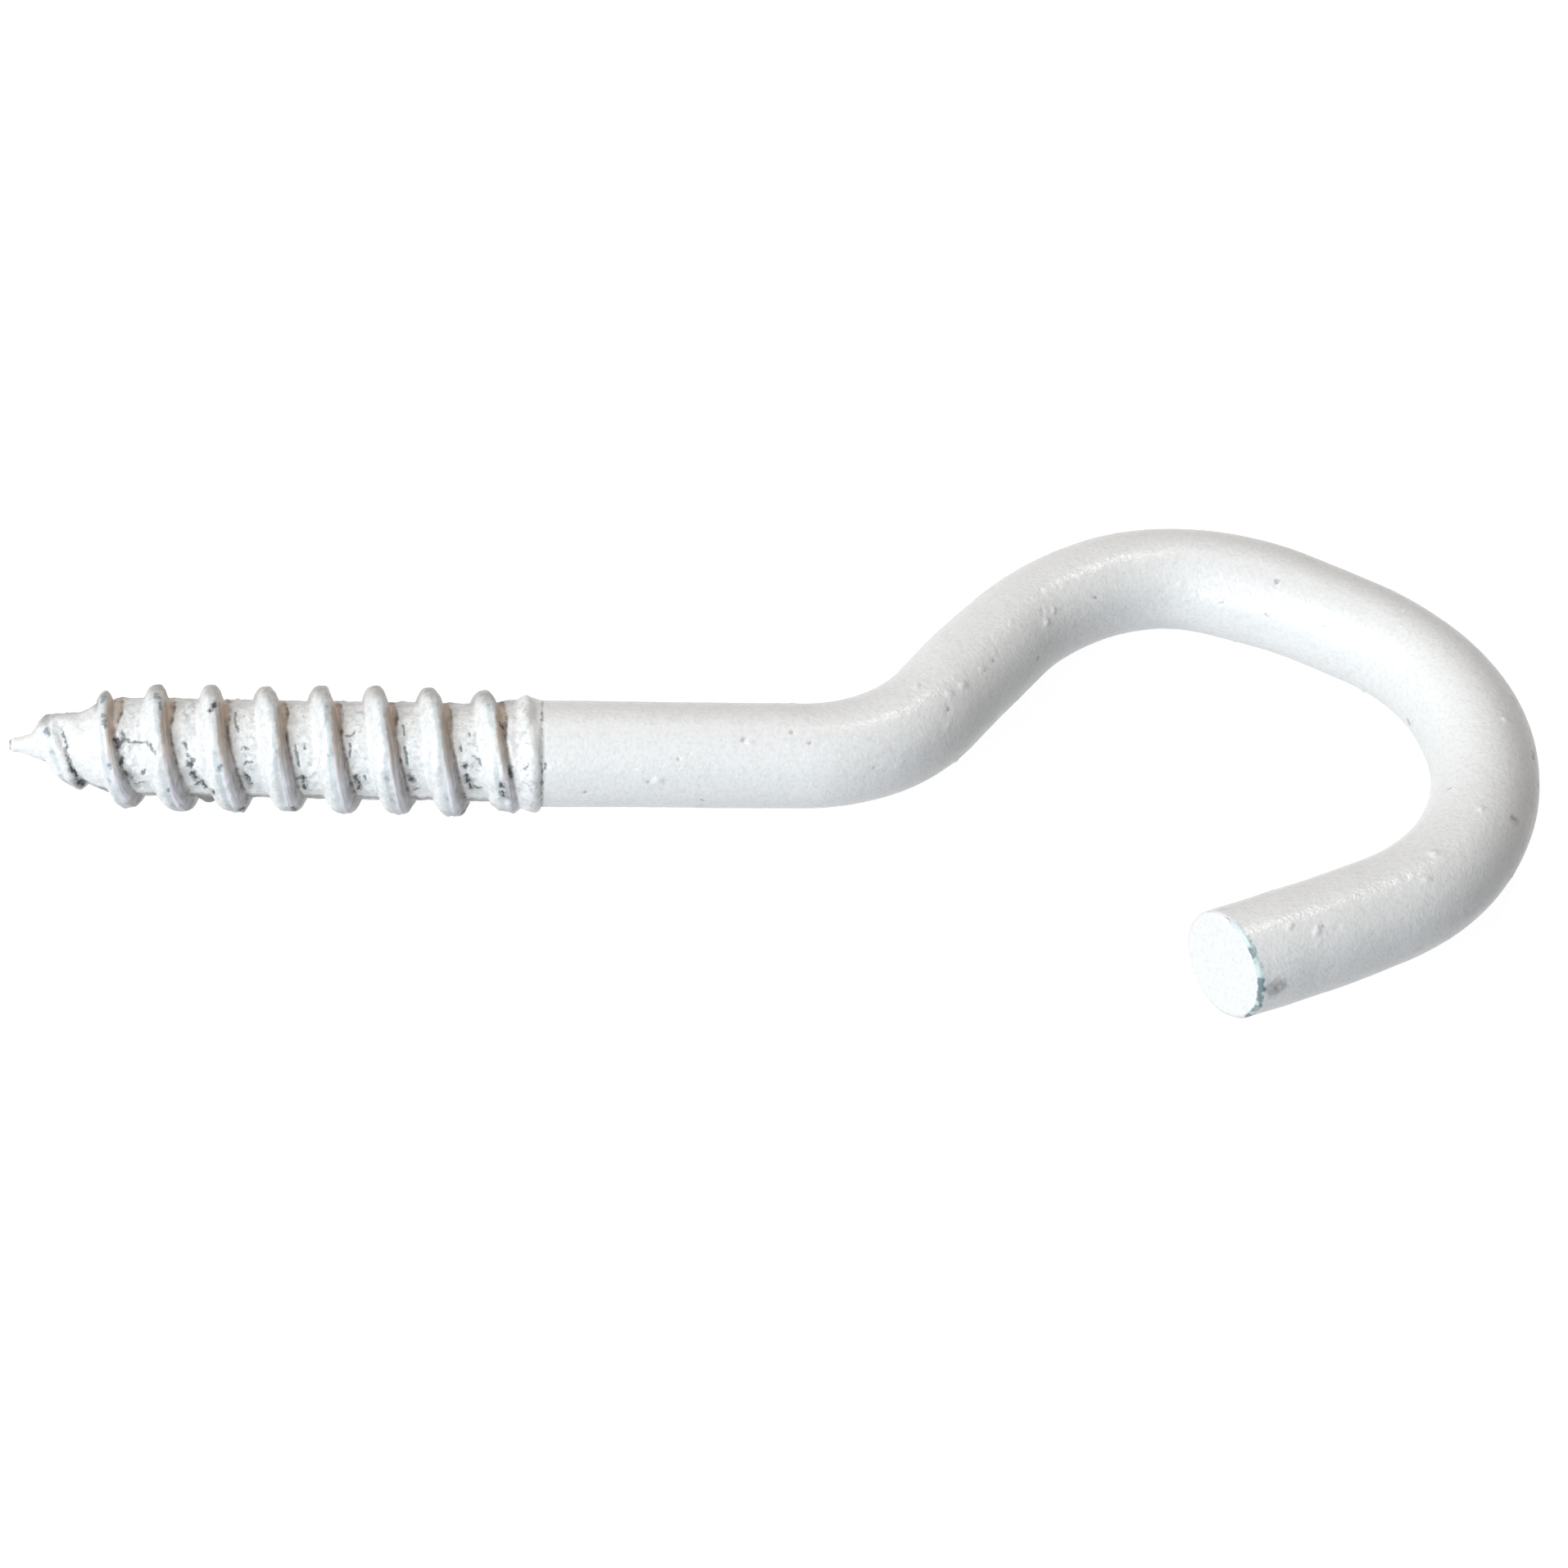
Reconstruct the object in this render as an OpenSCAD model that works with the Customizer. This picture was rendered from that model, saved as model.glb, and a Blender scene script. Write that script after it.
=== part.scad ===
// Screw hook: one length of coated round wire with a wood thread and a gimlet
// point at one end, bent through a neck and a bow into an open hook.
// The shank lies along X with its point towards -X, and the hook lies in the XY
// plane, bending towards +Y. The origin is on the shank's axis where the thread
// ends, which is as far as the hook screws in.

/* [Wire] */
// Diameter of the coated wire
wire_d = 5; // [4.8:0.1:6]

/* [Thread] */
// Length from the point to the end of the thread
thread_len = 25; // [16:0.2:36]
// Diameter over the crests
crest_d = 6.1; // [5.6:0.1:7.4]
// Diameter at the root
root_d = 4.6; // [3.8:0.1:4.8]
// Distance from one turn to the next
pitch = 2.55; // [2:0.05:3.4]
// Width of the flat along the crest
crest_w = 0.4; // [0.2:0.05:0.6]
// Width of the ridge's flank that faces the point
front_flank = 0.75; // [0.4:0.05:0.9]
// Width of the steeper flank that faces the hook
back_flank = 0.4; // [0.2:0.05:0.6]
// Turn of the thread about the axis
thread_phase = 67; // [-180:1:180]

/* [Point] */
// Length of the taper, from the tip to the full root diameter
point_len = 5.1; // [3:0.1:8]
// Radius of the blunt tip
tip_r = 0.36; // [0.2:0.02:0.8]
// How far from the tip the ridge begins
ridge_start = 0.9; // [0.4:0.1:2.5]
// Length over which the ridge comes up on the point
ridge_rise = 1; // [0.5:0.1:3]
// Share of its full height that the ridge has on the point
point_ridge = 0.7; // [0.3:0.05:1]

/* [Thread end] */
// Height of the ring where the thread ends, over the wire
ring_h = 0.28; // [0.1:0.02:0.6]
// Width of that ring
ring_w = 1.3; // [0.8:0.1:2.4]
// Length over which the ridge sinks before the ring
ridge_fade = 3.5; // [2:0.1:6]

/* [Shank and neck] */
// Plain shank between the thread and the neck
shank_len = 12.3; // [6:0.1:30]
// Radius of the neck bend, to the wire's centre
neck_r = 8; // [5:0.1:14]
// Angle of the neck bend
neck_angle = 52.6; // [30:0.2:65]
// Straight between the neck and the bow
neck_len = 6.15; // [3:0.05:12]

/* [Hook] */
// Radius of the bow, the first bend of the hook, to the wire's centre
bow_r = 10.65; // [8:0.05:16]
// Angle of the bow
bow_angle = 84.3; // [75:0.1:95]
// Straight between the bow and the nose
crown_len = 3.8; // [2:0.05:10]
// Radius of the nose, the second bend of the hook, to the wire's centre
nose_r = 10.45; // [8:0.05:14]
// Angle of the nose
nose_angle = 122.9; // [100:0.1:130]
// Straight from the nose to the cut end, along the wire's axis
tail_len = 8.3; // [3:0.1:9]
// Slant of the cut end within the hook's plane
cut_slant = 7.5; // [0:0.5:20]
// Slant of the cut end out of the hook's plane
cut_rake = 6.6; // [0:0.1:20]

/* [Hidden] */
$fn = 64;

coat = "#eceae7";
wire_r = wire_d / 2;
crest_r = crest_d / 2;
root_r = root_d / 2;
ridge_h = crest_r - root_r;

// A joint's bead stands this much proud of the wire, so that the straight and the
// bend that meet there share one solid.
bead = 0.005;
// How far the shank's solid reaches into the thread's solid, under the ring.
lap = ring_w / 2;
// The thread's last face is this much wider than the wire that leaves it.
foot = 0.05;
// Radius of the flat on the tip, as a share of the tip's radius.
tip_flat = 0.3;

// The thread's surface is a grid of points. Each turn has twice as many points
// round the axis as along it, so that a grid line follows the crest.
turn_steps = 14;
sides = 2 * turn_steps;
step = pitch / turn_steps;
sections = ceil(thread_len / step);

// Eased step from 0 to 1 as t goes from 0 to 1.
function ease(t) = let (c = min(max(t, 0), 1)) c * c * (3 - 2 * c);

// Where the ring begins and where its middle is, as distances from the tip.
ring_from = thread_len - ring_w;
ring_mid = thread_len - ring_w / 2;

// Radius of the core at distance s from the tip: a rounded tip with a small flat,
// a cone and a cylinder, which swells to the wire's radius just before the ring.
function tip_round(s) = s < tip_r ? sqrt(1 - pow(1 - s / tip_r, 2)) : 1;
function cone_r(s) = tip_r + (root_r - tip_r) * min(s / point_len, 1);
function core_r(s) =
    let (swell = (wire_r - root_r) * ease((s - ring_from + ring_w) / ring_w))
    cone_r(s) * max(tip_round(s), tip_flat) + swell;

// The ring rises to its middle and falls again to the foot.
function ring_r(s) =
    s < ring_from ? 0 : s < ring_mid
        ? wire_r + ring_h * ease((s - ring_from) / (ring_mid - ring_from))
        : wire_r + foot + (ring_h - foot) * ease((thread_len - s) / (ring_w / 2));

// Height of the ridge at distance s from the tip: it comes up on the point, reaches
// its full height a turn past the taper and sinks before the ring.
function ridge_at(s) =
    let (
        begun = ease((s - ridge_start) / ridge_rise),
        grown = ease((s - point_len) / pitch),
        sunk = min(max((s - ring_mid + ridge_fade) / ridge_fade, 0), 1)
    )
    ridge_h * begun * (point_ridge + (1 - point_ridge) * grown) * (1 - pow(sunk, 2));

// Signed distance along the axis from the nearest crest, for a right-hand thread.
function from_crest(s, a) =
    let (turns = (s - thread_len) / pitch - (a - thread_phase) / 360)
    pitch * (turns - round(turns));

// Share of the ridge's height at distance d from its crest.
function flank(d) =
    ease(1 - (abs(d) - crest_w / 2) / (d < 0 ? front_flank : back_flank));

function thread_r(s, a) =
    let (d = from_crest(s, a))
    max(core_r(s) + ridge_at(s - d) * flank(d), ring_r(s));

// Point j of section i, counted from the thread's end. Every other point lies half
// a step on, apart from those of the two end faces.
function thread_point(i, j) =
    let (
        back = min(i * step, thread_len),
        on = i == 0 || i == sections ? 0 : (j % 2) * step / 2,
        s = thread_len - back + on,
        a = 360 * j / sides,
        r = thread_r(s, a)
    )
    [s - thread_len, r * cos(a), r * sin(a)];

module thread() {
    points = [for (i = [0 : sections], j = [0 : sides - 1]) thread_point(i, j)];
    walls = [for (i = [0 : sections - 1], j = [0 : sides - 1])
        let (k = (j + 1) % sides, near = i * sides, far = near + sides)
        each [[near + j, near + k, far + j], [near + k, far + k, far + j]]];
    end_face = [for (j = [sides - 1 : -1 : 0]) j];
    tip_face = [for (j = [0 : sides - 1]) sections * sides + j];
    polyhedron(points, concat([end_face], walls, [tip_face]), convexity = 10);
}

// A straight length of wire along X. What follows it is placed at its far end.
module straight(length) {
    rotate([0, 90, 0])
        cylinder(r = wire_r, h = length);
    translate([length, 0, 0])
        joined() children();
}

// A bend that leaves along X and turns by angle, to the left if that is positive.
module bend(radius, angle) {
    side = sign(angle);
    translate([0, side * radius, 0]) {
        rotate(-90 * side)
            rotate_extrude(angle = angle)
                translate([radius, 0])
                    circle(r = wire_r);
        rotate(angle)
            translate([0, -side * radius, 0])
                joined() children();
    }
}

module joined() {
    sphere(r = wire_r + bead);
    children();
}

// The last straight, sawn off a little out of square.
module cut_end(length) {
    cutter = 3 * wire_d;
    difference() {
        rotate([0, 90, 0])
            cylinder(r = wire_r, h = length + wire_r);
        translate([length, 0, 0])
            rotate([0, -cut_rake, cut_slant])
                translate([0, -cutter / 2, -cutter / 2])
                    cube(cutter);
    }
}

module screw_hook() {
    color(coat) {
        thread();
        translate([-lap, 0, 0])
            straight(shank_len + lap)
                bend(neck_r, neck_angle)
                    straight(neck_len)
                        bend(bow_r, -bow_angle)
                            straight(crown_len)
                                bend(nose_r, -nose_angle)
                                    cut_end(tail_len);
    }
}

screw_hook();
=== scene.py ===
"""Screw hook of round steel wire under a thick white coat.

The hook is one piece, as the real one is: a wood thread with a gimlet point, a plain
shank, a neck and an open hook, all formed from one length of wire. The coat lies
unevenly over the thread, where each turn's steep side is bare and dirty, its crests are
worn thin and small nibs and pits are left all over. The sawn end is coated too, with a
chipped rim.

Everything is in metres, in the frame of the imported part: the shank lies along X with
its point towards -X, the hook lies in the XY plane, and the origin is on the shank's
axis where the thread ends.
"""

import random
from math import atan2, cos, degrees, pi, radians, sin, sqrt, tan

import bmesh
import bpy
from bpy.props import FloatProperty, FloatVectorProperty, IntProperty, PointerProperty
from mathutils import Matrix, Vector, kdtree, noise


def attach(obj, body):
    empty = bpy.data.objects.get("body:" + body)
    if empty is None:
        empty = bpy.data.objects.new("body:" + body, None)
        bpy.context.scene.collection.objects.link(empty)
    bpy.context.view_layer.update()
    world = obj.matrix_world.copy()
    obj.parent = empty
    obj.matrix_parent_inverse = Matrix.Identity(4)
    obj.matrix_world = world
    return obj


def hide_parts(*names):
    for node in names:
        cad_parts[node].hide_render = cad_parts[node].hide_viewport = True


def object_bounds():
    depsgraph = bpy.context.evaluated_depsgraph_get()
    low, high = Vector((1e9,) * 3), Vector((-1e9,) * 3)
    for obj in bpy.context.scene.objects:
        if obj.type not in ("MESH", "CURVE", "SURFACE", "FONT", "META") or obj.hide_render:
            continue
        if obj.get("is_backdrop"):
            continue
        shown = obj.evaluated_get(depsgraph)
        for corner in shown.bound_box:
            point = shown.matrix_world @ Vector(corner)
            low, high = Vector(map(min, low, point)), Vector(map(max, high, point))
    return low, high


bl_info = {
    "name": "Coated screw hook",
    "version": (1, 0, 0),
    "blender": (4, 5, 0),
    "location": "3D View > Sidebar > Hook",
    "description": "Models and finishes a screw hook of coated wire, and sets its stage",
    "category": "Object",
}

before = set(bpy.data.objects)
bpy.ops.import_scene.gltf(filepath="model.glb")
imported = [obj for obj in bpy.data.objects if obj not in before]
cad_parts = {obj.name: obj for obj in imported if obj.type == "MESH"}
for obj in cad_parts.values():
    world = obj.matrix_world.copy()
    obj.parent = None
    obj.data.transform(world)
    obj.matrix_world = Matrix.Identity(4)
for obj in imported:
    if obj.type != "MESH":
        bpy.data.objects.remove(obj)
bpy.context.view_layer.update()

MM = 0.001
TURN = 2 * pi
# The distance noted at points that are far from any turn, mark or rim.
FAR = 9.0


def linear(hex_colour):
    """An sRGB hex colour as the linear RGBA that Blender works in."""
    channels = [int(hex_colour[i : i + 2], 16) / 255 for i in (1, 3, 5)]
    lit = [c / 12.92 if c <= 0.04045 else ((c + 0.055) / 1.055) ** 2.4 for c in channels]
    return (*lit, 1.0)


def length(name, description, millimetres):
    """A length that a user can change."""
    settings = {"default": millimetres * MM, "min": 0, "precision": 5}
    settings.update(unit="LENGTH", subtype="DISTANCE")
    return FloatProperty(name=name, description=description, **settings)


def angle(name, description, degrees):
    """An angle that a user can change."""
    settings = {"default": radians(degrees), "unit": "ROTATION", "subtype": "ANGLE"}
    return FloatProperty(name=name, description=description, **settings)


def colour(name, description, hex_colour):
    """A colour that a user can change."""
    settings = {"default": linear(hex_colour), "size": 4, "min": 0, "max": 1}
    return FloatVectorProperty(name=name, description=description, subtype="COLOR", **settings)


class WireSizes(bpy.types.PropertyGroup):
    """The wire, its bends and its sawn end."""

    wire_d: length("Wire", "Diameter of the coated wire", 5)
    shank_len: length("Shank", "Plain shank between the thread and the neck", 12.3)
    neck_r: length("Neck radius", "Radius of the neck, to the wire's centre", 8)
    neck_turn: angle("Neck angle", "How far the neck turns", 52.6)
    neck_len: length("Neck straight", "Straight between the neck and the bow", 6.15)
    bow_r: length("Bow radius", "Radius of the hook's first bend", 10.65)
    bow_turn: angle("Bow angle", "How far the first bend turns", 84.3)
    crown_len: length("Crown", "Straight between the hook's two bends", 3.8)
    nose_r: length("Nose radius", "Radius of the hook's second bend", 10.45)
    nose_turn: angle("Nose angle", "How far the second bend turns", 122.9)
    tail_len: length("Tail", "Straight from the nose to the sawn end", 8.3)
    cut_slant: angle("Cut slant", "Slant of the sawn end within the hook's plane", 7.5)
    cut_rake: angle("Cut rake", "Slant of the sawn end out of the hook's plane", 6.6)
    rim_round: length("Rim", "Rounding of the sawn end's rim", 0.24)
    sides: IntProperty(
        name="Sides", description="Points round the wire", default=120, min=40, max=120
    )


class ThreadSizes(bpy.types.PropertyGroup):
    """The rolled thread and its gimlet point."""

    thread_len: length("Length", "From the point to the end of the thread", 25)
    crest_d: length("Crest", "Diameter over the crests", 6.02)
    root_d: length("Root", "Diameter at the root", 4.56)
    pitch: length("Pitch", "From one turn to the next", 2.55)
    front_flank: length("Front flank", "From the crest to the ridge's front foot", 0.8)
    back_flank: length("Back flank", "From the crest to the ridge's back foot", 0.5)
    phase: angle("Phase", "Turn of the thread about the axis", 67)
    point_len: length("Point", "Length of the taper", 5.1)
    tip_r: length("Tip", "Radius of the blunt tip", 0.36)
    ridge_start: length("Ridge start", "From the tip to where the ridge begins", 0.9)
    ridge_rise: length("Ridge rise", "Length over which the ridge comes up", 1)
    point_ridge: FloatProperty(
        name="Point ridge",
        description="Share of its height that the ridge has on the point",
        default=0.75,
        min=0,
        max=1,
        subtype="FACTOR",
    )
    point_lag: length("Point lag", "How far the ridge trails on the point", 0.1)
    bow: length("Bow", "How far the first turns bow towards the point on top", 0.3)
    # The line of painted shade along the thread's lower outline is placed round from this side,
    # and so is the dirt's spread.
    underside: angle("Underside", "The side that the thread hung down", -136)
    ring_h: length("Ring", "Height of the ring at the thread's end", 0.28)
    ring_w: length("Ring width", "Width of that ring", 1.3)
    ridge_fade: length("Ridge fade", "Length over which the ridge sinks", 3.5)
    lean: angle("Lean", "How far the rolled thread leans towards the hook", 0.8)
    skin: length("Skin", "How thick the coat stands in the thread", 0.07)


class CoatLook(bpy.types.PropertyGroup):
    """The coat, its wear, its dirt and the light painted on its back flanks' underside."""

    white: colour("Coat", "The white coat", "#e8e8e7")
    thin: colour("Thin coat", "The coat where a crest is worn thin", "#bec7c9")
    dirt: colour("Dirt", "Brown dirt on the bare back flank", "#dac8b5")
    # Painted light: a bluish near-white that stands for light from below on the back flank's
    # underside.
    under: colour("Underside", "Dirt on the back flank underneath", "#f4f4fb")
    gap: colour("Gap", "The dark line at the foot of a flank", "#4d423a")
    bare: colour("Bare steel", "Weathered steel where the coat is chipped", "#2f2c2a")
    zinc: colour("Zinc", "The plating that shows on the sawn end's rim", "#6d8285")
    nibs: IntProperty(
        name="Nibs", description="Small nibs scattered over the coat", default=150, min=0, max=400
    )


class StageLook(bpy.types.PropertyGroup):
    """The floor and the camera."""

    floor: colour("Floor", "The pale floor", "#c0c0c0")
    view_azimuth: angle("Azimuth", "Where the camera stands round the part", -3.672)
    view_elevation: angle("Elevation", "How high the camera stands", 46.215)
    view_roll: angle("Roll", "How far the camera is turned about its view", 3.102)
    view_distance: length("Distance", "From the camera to its target", 241.07)


# The real hook's own marks on the plain wire: millimetres along it from the thread's
# end, degrees round it from the hook's left side over the top, millimetres across.
NIBS = (
    (5.4, 163, 0.42), (9.7, 119, 0.3), (18.2, 88, 0.3), (19.9, 119, 0.55), (19.2, 117, 0.4),
    (21.5, 122, 0.3), (26.5, 137, 0.45), (27.4, 130, 0.3), (55.2, 73, 0.4), (61.3, 84, 0.4),
    (65, 86, 0.5), (66.2, 66, 0.4), (72.1, 59, 0.5), (73.3, 69, 0.3),
)
PITS = (
    (2, -179, 0.3), (4.9, 165, 0.24), (6.4, 139, 0.26), (7.6, -167, 0.3), (9.4, 117, 0.34),
    (11.6, 108, 0.32), (12.5, 121, 0.26), (14.8, 156, 0.22), (18.7, 129, 0.34),
    (22.4, 126, 0.26), (25, 161, 0.26), (30.2, 139, 0.22), (38.3, 157, 0.2),
    (40.9, 118, 0.36), (41.1, 155, 0.26), (44, 143, 0.24), (51.6, -170, 0.5), (56.7, 35, 0.3),
    (60, 130, 0.26), (60.5, 48, 0.42), (71.8, 59, 0.3), (74.7, 12, 0.3),
)
SMUDGES = ((60.6, 46, 0.5), (74.7, 12, 1.1))
# How the wire strays from its true bends, as a hand-worked one does: millimetres along
# it, millimetres to its left, and how much thicker it is with its coat.
STRAYS = (
    (0, 0, 0), (12, 0, -0.006), (19, -0.03, 0), (22.5, 0.05, 0.008), (28.5, -0.09, -0.028),
    (34.5, 0.09, -0.02), (39.5, -0.09, 0.024), (43.5, 0.05, 0.005), (48.5, 0, -0.007),
    (54, 0, 0.03), (59, -0.02, 0.018), (66, 0, 0.018), (70.5, 0.04, 0.036),
    (73.2, -0.06, 0.046), (76, -0.19, 0.044), (90, -0.19, 0.044),
)
# Chips down to the steel in the thread: millimetres across, then the places that each
# runs through, in millimetres from the thread's end towards the point and degrees round
# it from +Y over the top.
CHIPS = (
    (0.22, ((19.9, 127), (19.5, 128), (19.7, 135))), (0.2, ((19.5, 148), (19.6, 157))),
    (0.14, ((19.4, 164), (19.2, 169), (19.1, 174))),
    (0.08, ((22.5, 92), (22.3, 118), (22.2, 139), (22.1, 163))),
    (0.12, ((22.1, 163), (21.9, 184))), (0.2, ((21.9, 184), (21.7, 200))),
    (0.3, ((21.6, 211), (21.5, 223))), (0.14, ((16.4, 152), (16.3, 155))),
    (0.15, ((16.3, 164), (16.2, 168), (16.1, 173))),
    (0.13, ((16.1, 182), (15.8, 177), (15.6, 188), (15.2, 177))),
    (0.14, ((15.4, 99), (15.3, 95), (15.2, 91))),
    (0.12, ((13.8, 166), (13.6, 172), (13.5, 182))),
    (0.12, ((11.1, 168), (11.1, 178), (11, 188))), (0.12, ((8.7, 166), (8.5, 176), (8.5, 186))),
    (0.16, ((6.1, 165), (6, 172))), (0.18, ((3.6, 151), (3.5, 149))),
    (0.16, ((3.5, 163), (3.4, 171), (3.3, 180))), (0.12, ((1.9, 165), (1.8, 169))),
    (0.14, ((1.8, 175), (1.7, 182))), (0.22, ((1.5, 151), (1.4, 159))),
    (0.2, ((1.9, 101), (1.8, 105))), (0.28, ((14.1, 209), (13.9, 220))),
    (0.24, ((11.6, 203), (11.5, 214))), (0.28, ((3.7, 217), (3.5, 240))),
)
# Soft grey stains in the thread's coat, given in the same way.
STAINS = (
    (0.5, ((19.4, 162), (19.2, 169), (19, 178), (18.9, 186))),
    (0.3, ((19.6, 126), (19.6, 146))), (0.4, ((20, 62), (19.9, 104))),
    (0.3, ((22, 196), (21.6, 214))), (0.3, ((16, 170), (15.6, 188))),
    (0.3, ((13.8, 172), (13.6, 186))), (0.3, ((11, 172), (10.9, 190))),
    (0.3, ((8.6, 170), (8.4, 188))), (0.3, ((6.2, 160), (5.9, 184))),
    (0.3, ((3.4, 166), (3.2, 184))), (0.3, ((1.8, 160), (1.6, 186))),
)
# Crests worn through to blue-grey, given in the same way.
WORN = (
    (0.26, ((23.2, 95), (23, 108))), (0.24, ((20.5, 63), (20.5, 81))),
    (0.22, ((20.4, 100), (20.4, 103))), (0.22, ((20.3, 109), (20.3, 114))),
    (0.14, ((20.1, 153), (20, 155))), (0.2, ((18, 75), (17.9, 86))),
    (0.18, ((17.8, 89), (17.7, 98))), (0.12, ((17.3, 173), (17.3, 179))),
    (0.2, ((14.9, 151), (14.9, 153))), (0.12, ((6, 49), (5.9, 49))),
)
# Cracks and flaked edges in the thread's coat, given in the same way.
CRACKS = (
    (0.09, ((19.4, 124), (19.1, 129), (18.3, 130), (18, 136), (17.9, 141))),
    (0.1, ((19.5, 117), (19.4, 123))), (0.06, ((19, 184), (18.4, 178))),
    (0.08, ((18.6, 167), (18.4, 162))), (0.1, ((16.6, 128), (16.5, 136))),
    (0.07, ((16.5, 142), (16.3, 147), (16.1, 148), (16.3, 155), (16.5, 151))),
    (0.08, ((14.3, 88), (14.3, 101), (14.1, 115))),
    (0.05, ((14, 136), (13.9, 133), (13.6, 134))),
    (0.06, ((13.8, 152), (13.6, 149), (13.4, 150))),
    (0.1, ((11.5, 128), (11.4, 137), (11.3, 147), (11.3, 153))), (0.1, ((11, 130), (11, 133))),
    (0.09, ((11.4, 170), (11.2, 169))), (0.08, ((9.1, 118), (8.8, 116), (8.7, 110))),
    (0.08, ((8.9, 127), (8.9, 143))), (0.08, ((8.2, 166), (8.2, 171))),
    (0.09, ((6.5, 103), (6.4, 116))), (0.11, ((6.4, 129), (6.3, 141), (6.2, 150))),
    (0.08, ((6, 188), (5.7, 182))), (0.1, ((3.8, 127), (3.7, 133))),
    (0.1, ((3.3, 180), (3.1, 178), (2.8, 181))), (0.06, ((3.2, 138), (2.9, 143), (2.8, 150))),
    (0.08, ((3.4, 112), (3.3, 115))), (0.08, ((0.8, 151), (0.6, 145))),
    (0.08, ((-0.1, 145), (-0.2, 150))),
    (0.08, ((24.9, 45), (24.9, 90), (24.9, 134), (24.9, 180), (24.9, 220))),
)


def ease(t):
    """Eased step from 0 to 1 as t goes from 0 to 1."""
    c = min(max(t, 0.0), 1.0)
    return c * c * (3 - 2 * c)


def lump(point, across, seed):
    """Smooth noise, from about -1 to 1, whose lumps are this far across."""
    return noise.noise(point / across + Vector((seed * 7.3, seed * 3.1, 0)))


def finder_of(places):
    """A tree that finds which of many places lie near a point."""
    finder = kdtree.KDTree(len(places))
    for index, place in enumerate(places):
        finder.insert(place, index)
    finder.balance()
    return finder


# ---- the wire


def route_of(wire):
    """The wire's straights and bends from the thread's end on, as lengths and turns."""
    return (
        (wire.shank_len, 0),
        (wire.neck_r * wire.neck_turn, wire.neck_turn),
        (wire.neck_len, 0),
        (wire.bow_r * wire.bow_turn, -wire.bow_turn),
        (wire.crown_len, 0),
        (wire.nose_r * wire.nose_turn, -wire.nose_turn),
        (wire.tail_len, 0),
    )


def along_wire(heading):
    """The direction along the wire at its heading."""
    return Vector((cos(heading), sin(heading), 0))


def follow(route, along):
    """The wire's centre and its heading at a distance along the route."""
    centre = Vector((min(along, 0), 0, 0))
    heading = 0.0
    left = max(along, 0)
    for run, turn in route:
        part = min(left, run)
        half = turn * part / run / 2
        chord = part * sin(half) / half if half else part
        centre += chord * along_wire(heading + half)
        heading += 2 * half
        left -= part
    return centre, heading


def across_wire(heading, around):
    """The direction out of the wire at an angle round it, from its left over its top."""
    left = Vector((-sin(heading), cos(heading), 0))
    return cos(around) * left + sin(around) * Vector((0, 0, 1))


def select_edges(piece, wanted):
    """In edit mode, selects just the edges that pass a test."""
    bpy.ops.mesh.select_all(action="DESELECT")
    shape = bmesh.from_edit_mesh(piece.data)
    for edge in shape.edges:
        if wanted(edge):
            edge.select_set(True)
    bmesh.update_edit_mesh(piece.data)


def select_ring(piece, centre, normal, radius):
    """In edit mode, selects the ring of edges round a centre, across a direction."""

    def in_ring(edge):
        return all(
            abs((vert.co - centre) @ normal) < 0.005 * MM
            and (vert.co - centre).length < 1.01 * radius
            for vert in edge.verts
        )

    select_edges(piece, in_ring)


def extrude(step):
    """In edit mode, draws what is selected out by a step."""
    bpy.ops.mesh.extrude_region_move(TRANSFORM_OT_translate={"value": step})


def cut_rows(piece, row):
    """Cuts each stretch that is still uncut into rows of about this length."""
    while True:
        shape = bmesh.from_edit_mesh(piece.data)
        longest = max(edge.calc_length() for edge in shape.edges)
        if longest < 3 * row:
            return
        select_edges(piece, lambda edge: edge.calc_length() > 0.999 * longest)
        bpy.ops.mesh.subdivide(number_cuts=round(longest / row) - 1)


def draw_wire(wire, thread):
    """The plain wire, drawn both ways from a ring of points at the thread's end."""
    fine_row = thread.pitch / (wire.sides / 4)
    row = 2 * fine_row
    blocks = 5
    rim_zone = 1.2 * MM
    bpy.ops.object.select_all(action="DESELECT")
    bpy.ops.mesh.primitive_circle_add(
        vertices=wire.sides, radius=wire.wire_d / 2, rotation=(0, TURN / 4, 0)
    )
    piece = bpy.context.object
    piece.name = piece.data.name = "coated_wire_hook"
    bpy.ops.object.transform_apply(rotation=True)
    bpy.ops.object.mode_set(mode="EDIT")
    bpy.ops.mesh.select_mode(type="EDGE")
    bpy.ops.mesh.select_all(action="SELECT")
    along = 0
    route = route_of(wire)
    for run, turn in route:
        centre, heading = follow(route, along)
        if turn:
            side = across_wire(heading, 0) * run / turn
            bpy.ops.mesh.spin(
                steps=round(run / row), angle=-turn, center=centre + side, axis=(0, 0, 1)
            )
        else:
            pull = run - (rim_zone if run == wire.tail_len else 0)
            extrude(pull * along_wire(heading))
        along += run
    cut_rows(piece, row)
    end, heading = follow(route, along - rim_zone)
    ahead = along_wire(heading)
    select_ring(piece, end, ahead, wire.wire_d / 2)
    extrude(rim_zone * ahead)
    axis = Vector((1, 0, 0))
    select_ring(piece, Vector(), axis, wire.wire_d / 2)
    for _ in range(blocks):
        extrude(axis * -thread.thread_len / blocks)
    cut_rows(piece, fine_row)
    bpy.ops.object.mode_set(mode="OBJECT")
    return piece


def sawn_plane(wire):
    """The wire's centre and heading at its sawn end, and the slant of the saw's plane.

    The slant is how far the plane falls back for a step across the wire.
    """
    route = route_of(wire)
    centre, heading = follow(route, sum(run for run, turn in route))
    rake = tan(wire.cut_rake) / cos(wire.cut_slant)
    slant = tan(wire.cut_slant) * across_wire(heading, 0) + rake * Vector((0, 0, 1))
    return centre, heading, slant


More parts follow.
